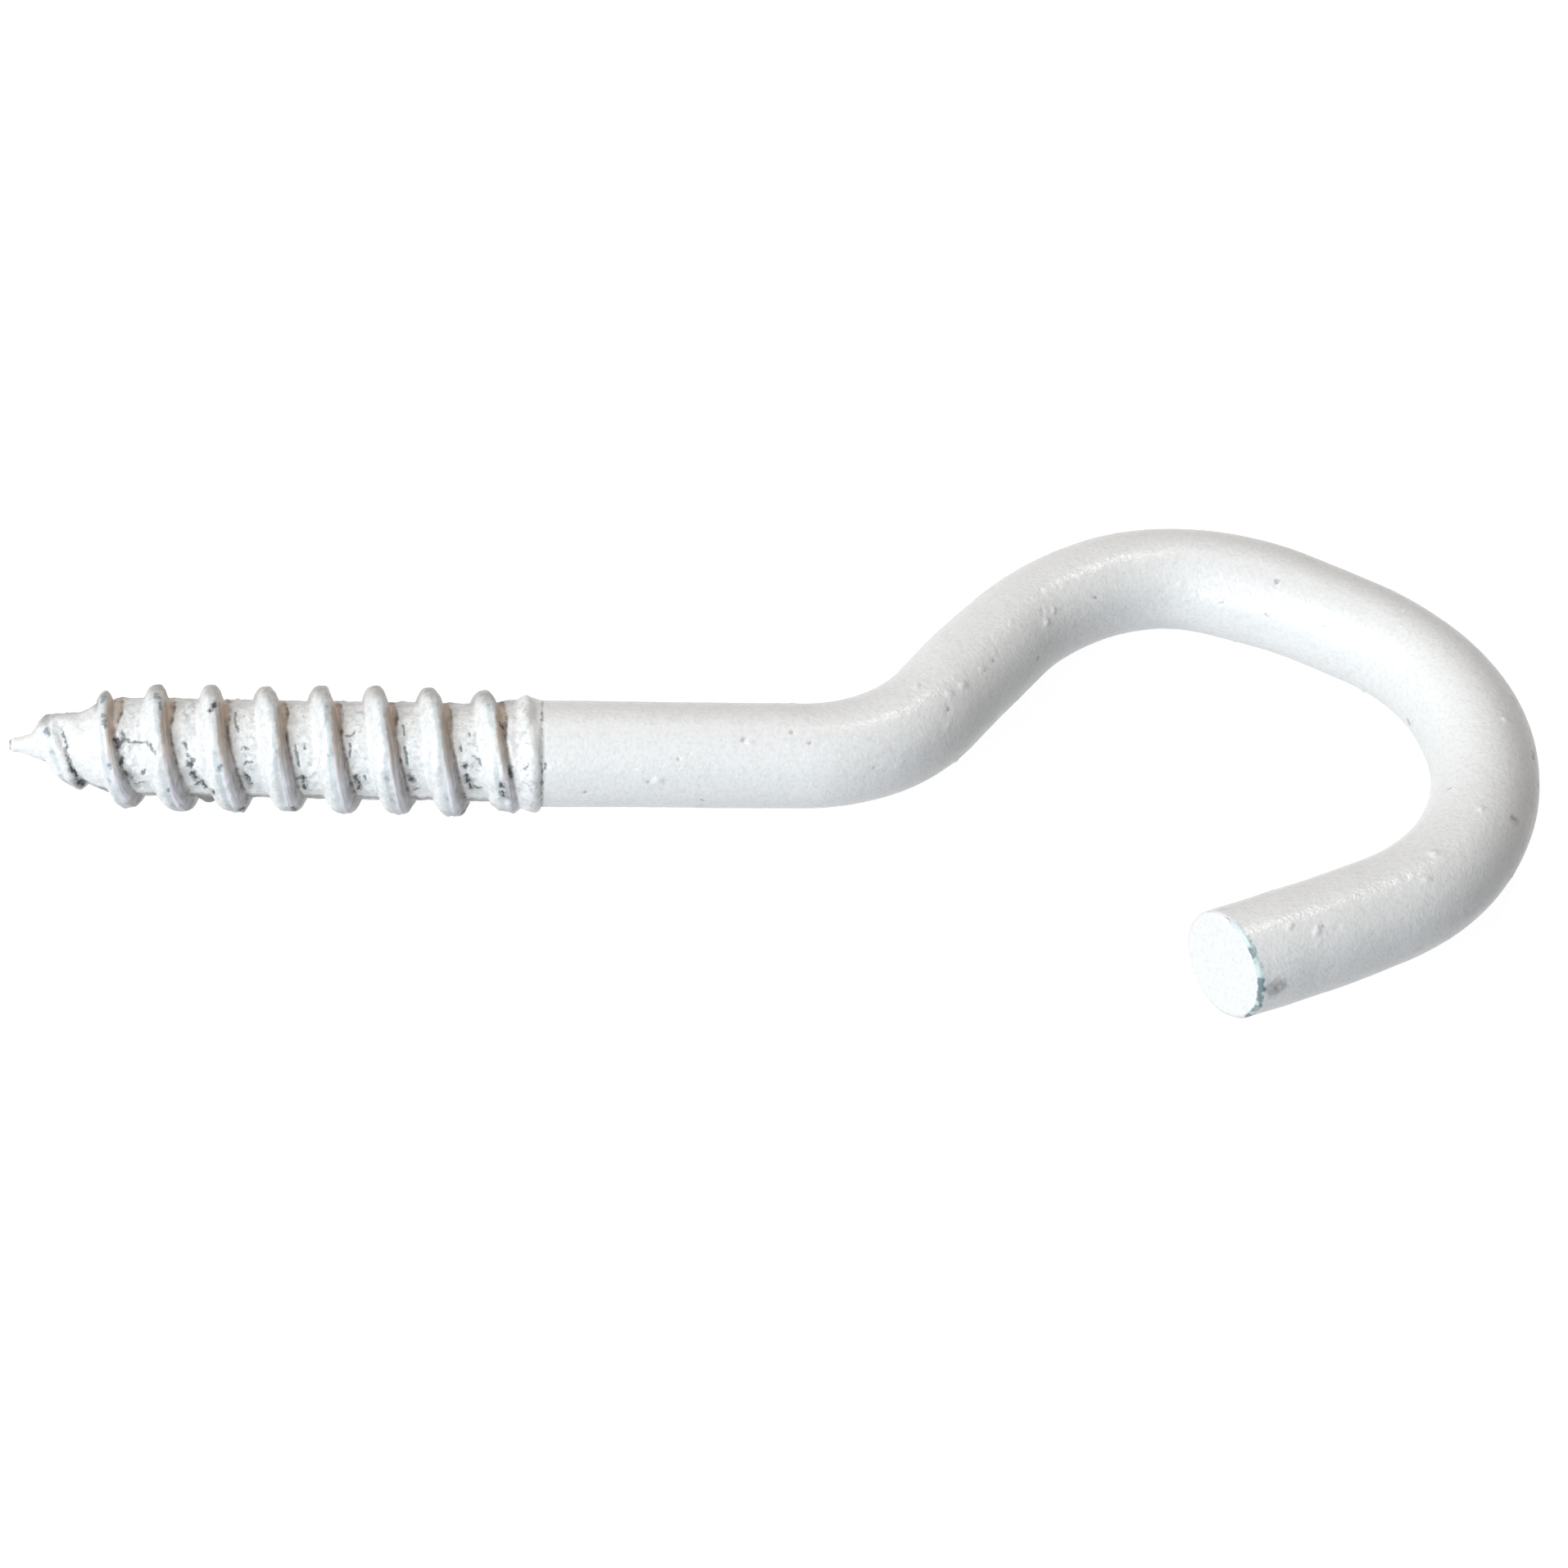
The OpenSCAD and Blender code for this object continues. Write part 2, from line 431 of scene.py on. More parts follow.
def saw_end(piece, wire):
    """Slants the last ring to the saw's plane, rounds its rim and closes its face."""
    centre, heading, slant = sawn_plane(wire)
    ahead = along_wire(heading)
    start = centre - wire.tail_len * ahead
    wire_r = wire.wire_d / 2
    for vert in piece.data.vertices:
        out = vert.co - start
        reach = out @ ahead
        if out.length > 2 * wire.tail_len or reach <= 0 or reach > wire.tail_len * 1.001:
            continue
        aside = out - reach * ahead
        if aside.length > 1.01 * wire_r:
            continue
        # The surface draws in over the last rows, to round the rim.
        share = reach / wire.tail_len
        left_over = min(max((1 - share) * wire.tail_len / wire.rim_round, 0), 1)
        drawn_in = wire.rim_round * (1 - sqrt(1 - (1 - left_over) ** 2))
        aside *= 1 - drawn_in / wire_r
        vert.co = start + share * (wire.tail_len - slant @ aside) * ahead + aside
    normal = (ahead + slant).normalized()
    bpy.ops.object.mode_set(mode="EDIT")
    select_ring(piece, centre, normal, 1.05 * wire_r)
    # Rings close together by the rim, and wider apart towards the face's middle.
    for size in (0.98, 0.97, 0.96, 0.95, 0.94, 0.92, 0.9, 0.88, 0.85, 0.8, 0.7, 0.5):
        bpy.ops.mesh.extrude_region_move()
        bpy.ops.transform.resize(value=(size, size, size), center_override=centre)
    bpy.ops.mesh.merge(type="CENTER")
    bpy.ops.object.mode_set(mode="OBJECT")


def bend_by_hand(piece, wire):
    """Lets the wire stray a little from its true bends and its true thickness."""
    route = route_of(wire)
    wire_len = sum(run for run, turn in route)
    steps = 800
    offsets = []
    for index in range(steps + 1):
        along = wire_len * index / steps
        for before, after in zip(STRAYS, STRAYS[1:]):
            if along <= after[0] * MM:
                break
        share = ease((along / MM - before[0]) / (after[0] - before[0]))
        aside = (before[1] + (after[1] - before[1]) * share) * MM
        thicker = before[2] + (after[2] - before[2]) * share
        centre, heading = follow(route, along)
        offsets.append((centre, aside * across_wire(heading, 0), thicker))
    finder = finder_of([centre for centre, aside, thicker in offsets])
    for vert in piece.data.vertices:
        if abs(vert.co.y) > wire.wire_d or vert.co.x > 0:
            centre, aside, thicker = offsets[finder.find(vert.co)[1]]
            vert.co += aside + thicker * (vert.co - centre)


# ---- the thread


def facing(around, degrees, start, span):
    """How far an angle round the thread faces a side, eased from 0 to 1.

    The cosine between them is at the start where this is 0, and a span above it where
    this is 1.
    """
    return ease((cos(around - radians(degrees)) - start) / span)


def sag(around):
    """How far the coat has run down at an angle round the thread, from 0 to 1."""
    return facing(around, -130, -0.5, 1)


def back_width(thread, around):
    """Width of the ridge's back flank, which is fuller where the coat has run down."""
    return thread.back_flank + 0.12 * MM * sag(around)


def from_crest(thread, along, around):
    """Distance along the axis from the nearest crest, below 0 towards the point.

    The distance along is from the tip. The ridge trails a little on the point, and its
    first turns bow towards the point on the upper side.
    """
    lag_from = thread.point_len + 0.8 * thread.pitch
    lag = thread.point_lag * max(1 - along / lag_from, 0)
    bowed = max(cos(around - radians(134)), 0) * ease((12.4 - along / MM) / 3.6)
    lag += thread.bow * bowed
    turns = (along + lag - thread.thread_len) / thread.pitch - (around - thread.phase) / TURN
    return thread.pitch * (turns - round(turns))


def core_radius(thread, wire_r, along):
    """Radius of the core: a blunt tip, a taper that is hollow behind it, a cylinder."""
    root_r = thread.root_d / 2
    share = min(along / thread.point_len, 1)
    share -= 0.11 * sin(pi * min(share / 0.75, 1) ** 0.6)
    taper = thread.tip_r + (root_r - thread.tip_r) * max(share, 0)
    blunt = sqrt(1 - (1 - min(along / thread.tip_r, 1)) ** 2)
    swell_from = thread.thread_len - 2 * thread.ring_w
    return taper * blunt + (wire_r - root_r) * ease((along - swell_from) / thread.ring_w)


def ring_radius(thread, wire_r, along, around):
    """Radius of the ring where the thread ends: flat, with a steep back but on top."""
    from_start = along - thread.thread_len + thread.ring_w
    if from_start < 0:
        return 0
    on_top = facing(around, 45, -0.1, 0.9)
    rise = ease(from_start / MM / (0.95 - 0.35 * on_top))
    sunk = ease((from_start / MM - 0.95 + 0.45 * on_top) / (0.4 + 0.3 * on_top))
    rise *= 1 - (0.5 + 0.4 * on_top) * sunk
    rise *= ease((thread.thread_len - along) / (0.1 * MM))
    spot = Vector((along, 3 * cos(around) * MM, 3 * sin(around) * MM))
    return wire_r + thread.ring_h * rise * (0.92 + 0.2 * lump(spot, 0.9 * MM, 2))


def ridge_height(thread, along):
    """Height of the ridge, which comes up on the point and sinks before the ring."""
    full = (thread.crest_d - thread.root_d) / 2
    begun = ease((along - thread.ridge_start) / thread.ridge_rise)
    grown = ease((along - thread.point_len) / thread.pitch)
    ring_middle = thread.thread_len - thread.ring_w / 2
    sunk = min(max((along - ring_middle + thread.ridge_fade) / thread.ridge_fade, 0), 1)
    share = thread.point_ridge + (1 - thread.point_ridge) * grown
    return full * begun * share * (1 - sunk**2)


def flank_share(thread, along, around, gap):
    """Share of the ridge's height at a distance from its crest.

    The ridge is fuller and rounder underneath, where the coat ran down before it set.
    Its front is steep where it leaves the point.
    """
    fuller = sag(around)
    on_top = facing(around, 45, 0.6, 0.35)
    gap += 0.1 * MM * fuller
    if gap < 0:
        steep = ease(1 - abs(along / MM - 4.7) / 1.6)
        width = (thread.front_flank + 0.06 * MM * fuller) * (1 - 0.7 * steep)
        width *= 1 - 0.2 * on_top
    else:
        width = back_width(thread, around)
    share = 1 - min(abs(gap) / width, 1) ** (2 + 2 * fuller + 1.3 * on_top)
    foot = 0.3
    if share < foot:
        # The ridge runs out into the core in a hollow.
        return share**2 / (2 * foot - foot**2)
    return (share - foot / 2) / (1 - foot / 2)


def skin_cover(thread, around, gap, spot):
    """How fully the coat covers the thread: it is missing from each back flank."""
    if gap < 0:
        return 1.0
    worn_from = 0.1 * MM + 0.08 * MM * lump(spot, 0.7 * MM, 3)
    edge_at = back_width(thread, around) + 0.1 * MM * lump(spot, 0.5 * MM, 4)
    return max(1 - ease((gap - worn_from) / (0.2 * MM)), ease((gap - edge_at) / (0.1 * MM)))


def thread_radius(thread, wire_r, along, around):
    """Radius of the coated thread at a distance from the tip and an angle round it."""
    gap = from_crest(thread, along, around)
    core = core_radius(thread, wire_r, along)
    spot = Vector((along, core * cos(around), core * sin(around)))
    height = ridge_height(thread, along - gap) * (1 + 0.16 * lump(spot, 3.1 * MM, 1))
    # The ridge is hardly raised where the point faces up.
    flat = facing(around, 125, 0.2, 0.6)
    height *= 1 - 0.5 * flat * ease((3.9 - (along - gap) / MM) / 0.9)
    height *= 1 - 0.04 * sag(around)
    radius = core + height * flank_share(thread, along - gap, around, gap)
    rolled = ease(along / MM - 0.6) * ease((thread.thread_len - along) / thread.ring_w - 0.3)
    cover = skin_cover(thread, around, gap, spot)
    radius += thread.skin * rolled * (1 - 0.8 * sag(around)) * (cover - 0.75)
    # The coat has filled the hollow behind the first turn, over the top of the point.
    web = facing(around, 35, 0.25, 0.65)
    web *= ease((along / MM - 1.9) / 0.2) * ease((4.1 - along / MM) / 0.3)
    filled = (1.5 + 0.075 * (along / MM - 2.1)) * MM
    radius += web * max(filled - radius, 0)
    return max(radius, ring_radius(thread, wire_r, along, around))


def thread_point(thread, wire_r, along, around):
    """A point of the coated thread, which leans a little off the shank's line."""
    radius = thread_radius(thread, wire_r, along, around)
    aside = tan(thread.lean) * max(thread.thread_len - along - thread.ring_w / 2, 0)
    across = radius * cos(around) + aside
    return Vector((along - thread.thread_len, across, radius * sin(around)))


def roll_thread(piece, wire, thread):
    """Shapes the drawn end into the thread, closes its tip and gives it its lean."""
    wire_r = wire.wire_d / 2
    column = TURN / wire.sides
    fine_row = thread.pitch / (wire.sides / 4)
    for vert in piece.data.vertices:
        if vert.co.x >= -0.001 * MM:
            continue
        along = max(thread.thread_len + vert.co.x, 0)
        around = atan2(vert.co.z, vert.co.y)
        # Every fourth column steps back a row, so that rows follow the crest.
        shift = (round(around / column) % 4) / 4 * fine_row
        shift *= ease(along / MM - 1) * ease((thread.thread_len - along) / thread.ring_w)
        # Rows crowd towards the tip, where the surface turns.
        if along < MM:
            along = MM * (along / MM) ** 1.7
        vert.co = thread_point(thread, wire_r, along + shift, around)
    bpy.ops.object.mode_set(mode="EDIT")
    bpy.ops.mesh.select_all(action="SELECT")
    bpy.ops.mesh.remove_doubles(threshold=0.002 * MM)
    bpy.ops.mesh.quads_convert_to_tris(quad_method="SHORTEST_DIAGONAL")
    bpy.ops.mesh.normals_make_consistent(inside=False)
    bpy.ops.object.mode_set(mode="OBJECT")


# ---- the coat


def note(piece, name, values):
    """Keeps a number for each point of the mesh, for the material to read."""
    attribute = piece.data.attributes.new(name, "FLOAT", "POINT")
    attribute.data.foreach_set("value", values)


def lie_in_thread(thread, spot):
    """A point's distance from the tip, its angle round the axis and from a crest."""
    along = thread.thread_len + spot.x
    aside = tan(thread.lean) * max(-spot.x - thread.ring_w / 2, 0)
    around = atan2(spot.z, spot.y - aside)
    return along, around, from_crest(thread, along, around)


def note_thread(piece, thread):
    """Notes in millimetres where each point lies in the thread, for the dirt, the wear and
    the painted shade.

    The bare strip runs from the crest down the back flank. Over the top it reaches on
    across the foot, and there is none on the point. How brown it is over the top, where
    painted light from below takes its place underneath, how dirty it is, how near it is
    to the thread's lower and upper outlines, along which a line of shade is painted, and
    how far the crest's upper side faces up, where grey shade is painted, are noted from
    0 to 1.
    """
    outside = dict.fromkeys(("gap", "lead", "shaded_top", "upper", "soil", "outline_shade", "valley"), 0)
    outside.update(in_thread=0, strip=FAR, foot=FAR, crest=FAR)
    notes = []
    for vert in piece.data.vertices:
        if vert.co.x > 0.3 * MM:
            notes.append(outside)
            continue
        along, around, gap = lie_in_thread(thread, vert.co)
        over_top = facing(around, 45, 0.25, 0.6)
        fuller = sag(around)
        strip_from = 0.08 + 0.16 * over_top - 0.1 * fuller
        over_top *= 0.24 + 0.2 * ease((8.5 - along / MM) / 2.5)
        foot_at = thread.back_flank / MM + 0.02 + over_top + 0.06 * fuller
        gap = gap / MM
        on_point = 0.6 * ease((4.4 - along / MM + gap) / 0.4)
        turned = degrees(around - thread.underside) % 360
        in_valley = ease((abs(gap + 0.1) - 0.6) / 0.2)
        # A line of painted shade along the thread's lower outline, stronger in the valleys.
        low_outline = ease((26 - min(turned, 360 - turned)) / 9) * (0.3 + 0.55 * in_valley)
        begun = ease((along - thread.ridge_start) / (0.6 * MM))
        ended = ease((thread.thread_len - 0.75 * thread.ring_w - along) / (0.4 * MM))
        here = {
            "gap": gap,
            "lead": along / MM - gap,
            "strip": max(strip_from - gap, gap - foot_at) + on_point,
            "foot": abs(gap - foot_at) + on_point,
            "crest": abs(gap + 0.06 + 0.1 * fuller),
            # Where grey shade is painted on the crests' upper side.
            "shaded_top": facing(around, 30, 0.53, 0.32),
            # Brown dirt over the top, and painted light from below underneath.
            "upper": facing(around, 75, -0.2, 1.15),
            "soil": 0.35 + 0.5 * ease((turned - 35) / 25),
            # Painted shade along the lower outline and, half as dark, along the upper one.
            "outline_shade": low_outline + 0.5 * ease(1 - abs(turned - 180) / 34),
            "valley": in_valley * ease((along / MM - 4.6) / 0.8),
            "in_thread": begun * ended,
        }
        notes.append(here)
    for name in outside:
        note(piece, name, [here[name] for here in notes])
    ring_gaps = [min(abs(vert.co.x / MM - 0.02), FAR) for vert in piece.data.vertices]
    note(piece, "ring_gap", ring_gaps)


def near(finder, marks, margin=0.0):
    """Finds each point on a mark or within a margin of it, and how far it is away."""
    for place, across in marks:
        nearest = finder.find(place)[0]
        for _, index, away in finder.find_range(nearest, across / 2 + margin):
            yield index, away, across


def note_marks(piece, name, finder, marks):
    """Notes how far each point lies from the nearest mark's edge, in millimetres."""
    gaps = [FAR] * len(piece.data.vertices)
    for index, away, across in near(finder, marks, 0.6 * MM):
        gaps[index] = min(gaps[index], (away - across / 2) / MM)
    note(piece, name, gaps)


def weigh_marks(piece, finder, marks):
    """Weights from 0 to 1 for round marks, each given as its place and its width."""
    weights = [0.0] * len(piece.data.vertices)
    for index, away, across in near(finder, marks):
        weights[index] = max(weights[index], ease(1 - 2 * away / across))
    return weights


def press(piece, name, strength, weights=None, lump_size=0.0):
    """Moves the surface in or out by a map of weights, by a lumpy pattern or by both."""
    modifier = piece.modifiers.new(name, "DISPLACE")
    modifier.strength = strength
    modifier.mid_level = 0
    if weights:
        group = piece.vertex_groups.new(name=name)
        for index, weight in enumerate(weights):
            if weight > 0:
                group.add([index], weight, "REPLACE")
        modifier.vertex_group = name
    if lump_size:
        pattern = bpy.data.textures.new(name, "CLOUDS")
        pattern.noise_scale = lump_size
        pattern.noise_depth = 1
        modifier.texture = pattern
        modifier.texture_coords = "LOCAL"
        modifier.mid_level = 0.5
    bpy.context.view_layer.objects.active = piece
    bpy.ops.object.modifier_apply(modifier=name)
    if weights:
        piece.vertex_groups.remove(piece.vertex_groups[name])


def on_wire(route, wire_r, mark):
    """A mark on the plain wire as a place on its surface and a width."""
    along, around, across = mark
    centre, heading = follow(route, along * MM)
    return centre + wire_r * across_wire(heading, radians(around)), across * MM


def on_thread(thread, wire_r, mark):
    """A mark in the thread as a place on its surface and a width."""
    back, degrees, across = mark
    along = thread.thread_len - back * MM
    place = thread_point(thread, wire_r, along, radians(degrees))
    return place, across * MM


def chain(thread, wire_r, lines):
    """Marks that run through several places in the thread, as rows of small marks."""
    marks = []
    steps = 12
    for across, places in lines:
        for start, stop in zip(places, places[1:]):
            for step in range(steps):
                share = step / steps
                back = start[0] + (stop[0] - start[0]) * share
                degrees = start[1] + (stop[1] - start[1]) * share
                marks.append(on_thread(thread, wire_r, (back, degrees, across)))
    return marks


def lay_coat(piece, wire, thread, coat):
    """Gives the coat its lumps, nibs, pits and chips, and notes the dark ones."""
    wire_r = wire.wire_d / 2
    route = route_of(wire)
    wire_len = sum(run for run, turn in route) / MM
    finder = finder_of([vert.co for vert in piece.data.vertices])
    draw = random.Random(5)
    nibs = [on_wire(route, wire_r, mark) for mark in NIBS]
    dark_pits = [on_wire(route, wire_r, mark) for mark in PITS]
    pits = list(dark_pits)
    dust = []
    for _ in range(coat.nibs):
        mark = (draw.uniform(0.5, wire_len - 0.6), draw.uniform(-180, 180))
        kept = dust if draw.random() < 0.7 else pits
        kept.append(on_wire(route, wire_r, (*mark, draw.uniform(0.2, 0.36))))
    chips, worn, cracks, stains = (
        chain(thread, wire_r, lines) for lines in (CHIPS, WORN, CRACKS, STAINS)
    )
    stains += [on_wire(route, wire_r, mark) for mark in SMUDGES]
    beads = []
    for _ in range(coat.nibs):
        mark = (draw.uniform(0.6, 23), draw.uniform(-180, 180), draw.uniform(0.3, 0.7))
        beads.append(on_thread(thread, wire_r, mark))
    # The coat has run thick at one place underneath.
    run = on_thread(thread, wire_r, (15.6, -140, 1.6))
    dark = {"pit": dark_pits, "chip": chips, "worn": worn, "crack": cracks, "stain": stains}
    for name, marks in dark.items():
        note_marks(piece, name, finder, marks)
    in_thread = [ease(-vert.co.x / (0.3 * MM)) for vert in piece.data.vertices]
    press(piece, "bent by hand", 0.07 * MM, lump_size=5 * MM)
    press(piece, "lumps", 0.1 * MM, in_thread, lump_size=0.7 * MM)
    press(piece, "grain", 0.05 * MM, in_thread, lump_size=0.28 * MM)
    press(piece, "orange peel", 0.012 * MM, lump_size=0.6 * MM)
    for name, height, marks in (
        ("beads", 0.06, beads),
        ("nibs", 0.13, nibs),
        ("dust", 0.045, dust),
        ("pits", -0.06, pits),
        ("chips", -0.07, chips),
        ("cracks", -0.04, cracks),
        ("run", 0.28, [run]),
    ):
        press(piece, name, height * MM, weigh_marks(piece, finder, marks))


def note_rim(piece, wire):
    """Notes how far each point lies from the sawn end's rim, in millimetres.

    The rim is chipped round its left side, from below to over the top. Elsewhere the
    distance is stretched, so that no zinc shows there.
    """
    end, heading, slant = sawn_plane(wire)
    ahead = along_wire(heading)
    left = across_wire(heading, 0)
    normal = (ahead + slant).normalized()
    gaps = []
    for vert in piece.data.vertices:
        out = vert.co - end
        if out.length > wire.wire_d:
            gaps.append(FAR)
            continue
        back = -(out @ normal)
        in_face = wire.wire_d / 2 - (out - ahead * (out @ ahead)).length
        gap = back / MM if back > 0.1 * MM else -in_face / MM
        turned = atan2(out.z, out @ left) - radians(32)
        gaps.append(gap * (1 + 12 * ease((0.45 - cos(turned)) / 0.4)))
    note(piece, "rim_gap", gaps)


# ---- the finish


def add_node(tree, kind, inputs=None, **settings):
    """Adds a node. An input is given by its name or number, as a value or an output.

    A node given as an input stands for its first output.
    """
    node = tree.nodes.new("ShaderNode" + kind)
    for name, value in settings.items():
        setattr(node, name, value)
    for socket, value in (inputs or {}).items():
        if isinstance(value, bpy.types.Node):
            value = value.outputs[0]
        if isinstance(value, bpy.types.NodeSocket):
            tree.links.new(value, node.inputs[socket])
        else:
            node.inputs[socket].default_value = value
    return node


def empty_tree(owner):
    """Clears the nodes of a material or a world, and returns their tree."""
    owner.use_nodes = True
    owner.node_tree.nodes.clear()
    return owner.node_tree


def tinted(tree, under, tint, *amounts):
    """Mixes a tint over a colour, by the product of several amounts.

    An amount is a number or an output. A noise that counts only between two of its
    values comes with them, and with the amounts that it gives there if those aren't 0
    and 1. The tint is a hex colour, a colour or an output.
    """
    if isinstance(tint, str):
        tint = linear(tint)
    shown = None
    for amount in amounts:
        if isinstance(amount, tuple):
            names = ("Value", "From Min", "From Max", "To Min", "To Max")
            amount = add_node(tree, "MapRange", dict(zip(names, amount)))
        if shown is not None:
            amount = add_node(tree, "Math", {0: shown, 1: amount}, operation="MULTIPLY")
        shown = amount
    inputs = {0: shown, 6: under, 7: tint}
    return add_node(tree, "Mix", inputs, data_type="RGBA").outputs[2], shown


def layer(tree, under, tint, noted, grain, spread, edges, *amounts):
    """Mixes a tint over a colour, where a noted distance is small.

    A noise shifts the distance by up to half the spread, which makes the layer's edge
    ragged. The edges are the distances at which the layer ends and is full. It shows no
    more than the product of the amounts.
    """
    gap = add_node(tree, "Attribute", attribute_name=noted).outputs["Fac"]
    shift = add_node(tree, "Math", {0: grain, 1: 0.5}, operation="SUBTRACT")
    gap = add_node(tree, "Math", {0: shift, 1: spread, 2: gap}, operation="MULTIPLY_ADD")
    inputs = {"Value": gap, "From Min": edges[0], "From Max": edges[1]}
    within = add_node(tree, "MapRange", inputs, interpolation_type="SMOOTHSTEP")
    return tinted(tree, under, tint, within, *amounts)


def powder_coated_steel(coat):
    """White polyester powder coat, sprayed and baked on zinc-plated steel wire.

    It gives a thick, soft-edged, slightly gritty white skin with a satin sheen, a little
    orange peel, and small pits and nibs from dust in the oven.
    """
    material = bpy.data.materials.new("white powder-coated steel")
    tree = empty_tree(material)
    place = add_node(tree, "TexCoord").outputs["Object"]
    noises = []
    # Each noise's grains in millimetres across, and its detail.
    grains = ((1.6, 3), (0.45, 3), (0.8, 2), (0.3, 3), (0.17, 2), (0.2, 2), (0.9, 1.5))
    for grain, detail in grains:
        inputs = {"Vector": place, "Scale": 1 / (grain * MM), "Detail": detail}
        noises.append(add_node(tree, "TexNoise", inputs))
    patches, blotches, breaks, ragged, frayed, grit, meander = noises
    names = ("gap", "lead", "in_thread", "upper", "soil", "outline_shade", "valley", "shaded_top", "rim_gap")
    gap, lead, in_thread, upper, soil, outline_shade, valley, shaded_top, rim_gap = (
        add_node(tree, "Attribute", attribute_name=name).outputs["Fac"]
        for name in names
    )

    # Streaks along each turn, 0.11 mm wide and 0.29 mm long, where it dragged in its hole.
    gap = add_node(tree, "Math", {0: gap, 1: 9}, operation="MULTIPLY")
    lead = add_node(tree, "Math", {0: lead, 1: 3.5}, operation="MULTIPLY")
    course = add_node(tree, "CombineXYZ", {"X": gap, "Y": lead})
    streaks = add_node(tree, "TexNoise", {"Vector": course, "Scale": 1, "Detail": 3})

    # Mottling of the coat itself, in patches and as fine grit.
    body, _ = tinted(tree, tuple(coat.white), "#d6d5d3", (patches, 0.3, 0.7, 0, 0.1))
    body, _ = tinted(tree, body, "#cbcac7", (grit, 0.45, 0.7, 0, 0.32))

    # Grey-green blotches in the thread, most of all in its valleys.
    rough = add_node(tree, "Math", {0: in_thread, 1: 0.5}, operation="MULTIPLY")
    rough = add_node(tree, "Math", {0: rough, 1: valley}, operation="MAXIMUM")
    body, _ = tinted(tree, body, "#b9bfbf", (blotches, 0.48, 0.66, 0, 0.55), rough)
    body, _ = tinted(tree, body, "#bdc1c2", (frayed, 0.5, 0.66, 0, 0.4), in_thread)

    # Thin meandering cracks in the valleys' coat.
    gap = add_node(tree, "Math", {0: meander, 1: 0.5}, operation="SUBTRACT")
    gap = add_node(tree, "Math", {0: gap}, operation="ABSOLUTE")
    cracked = (gap, 0.04, 0.01, 0, 0.4)
    body, _ = tinted(tree, body, "#8b9291", cracked, (ragged, 0.48, 0.58), valley)

    # Painted shade: a grey haze behind each foot, in the corner where the ridge meets the valley.
    look = ("#c4c1bc", "foot", ragged, 0.5, (0.5, 0.1))
    body, _ = layer(tree, body, *look, blotches, in_thread)

    # Crests worn thin, blue-grey with darker dashes.
    look = (tuple(coat.thin), "crest", ragged, 0.3, (0.18, 0.06))
    body, worn = layer(tree, body, *look, (patches, 0.3, 0.6, 0.45), soil, in_thread)
    body, _ = tinted(tree, body, "#6f7b83", (breaks, 0.6, 0.68, 0, 0.5), worn)

    # Painted shade: grey along the crests' upper side.
    look = ("#a9a8a1", "crest", ragged, 0.3, (0.5, 0.2))
    body, _ = layer(tree, body, *look, (blotches, 0.3, 0.6, 0.55), shaded_top, in_thread)

    # Dirt on the bare back flanks: pale brown over the top. Underneath it gives way to a
    # bluish near-white, which is painted light from below.
    dirt, _ = tinted(tree, tuple(coat.under), tuple(coat.dirt), upper)
    dirt, _ = tinted(tree, dirt, "#8d857c", (streaks, 0.42, 0.62, 0, 0.45))
    amount = add_node(tree, "Math", {0: upper, 1: 0.12, 2: soil}, operation="MULTIPLY_ADD")
    look = (dirt, "strip", ragged, 0.2, (0.03, -0.06))
    body, soiled = layer(tree, body, *look, amount, in_thread)
    # The strip darkens towards its foot.
    look = ("#82766b", "foot", ragged, 0.3, (0.28, 0.08))
    body, _ = layer(tree, body, *look, soiled, breaks)

    # The dark line at each back flank's foot, broken up along the turn.
    look = (tuple(coat.gap), "foot", ragged, 0.2, (0.12, 0.0))
    body, _ = layer(tree, body, *look, (breaks, 0.4, 0.58, 0.3, 0.9), in_thread)

    # Painted shade: a dark, broken line along the thread's lower and upper outlines.
    body, _ = tinted(tree, body, "#4c4843", (breaks, 0.3, 0.55, 0.6), in_thread, outline_shade)

    # The dashed line behind the ring.
    look = ("#6d6862", "ring_gap", frayed, 0.25, (0.1, 0.0))
    body, _ = layer(tree, body, *look, (breaks, 0.4, 0.55, 0.1, 0.9))

    # Pits, cracks, worn spots and chips, which are darkest in their middle.
    body, _ = layer(tree, body, "#95948f", "pit", frayed, 0.35, (0.03, -0.14), 0.65)
    body, _ = layer(tree, body, "#6c7271", "crack", frayed, 0.25, (0.06, -0.04), 0.9)
    body, _ = layer(tree, body, "#76828a", "worn", frayed, 0.4, (0.06, -0.06), 0.85)
    body, _ = layer(tree, body, "#949390", "stain", ragged, 0.7, (0.15, -0.3), 0.7)
    body, _ = layer(tree, body, "#757a79", "chip", frayed, 0.45, (0.13, -0.03), 0.8)
    look = (tuple(coat.bare), "chip", frayed, 0.4, (0.0, -0.07))
    body, chip = layer(tree, body, *look, 0.9)

    # The sawn end's rim, where the coat has chipped off the zinc.
    within = add_node(tree, "Math", {0: frayed, 1: -0.16, 2: rim_gap}, operation="MULTIPLY_ADD")
    zinc, _ = tinted(tree, linear("#cbd8d7"), tuple(coat.zinc), (breaks, 0.46, 0.58))
    look = (zinc, "rim_gap", ragged, 0.5, (0.34, 0.2))
    body, rim = layer(tree, body, *look, (within, -0.26, -0.21))

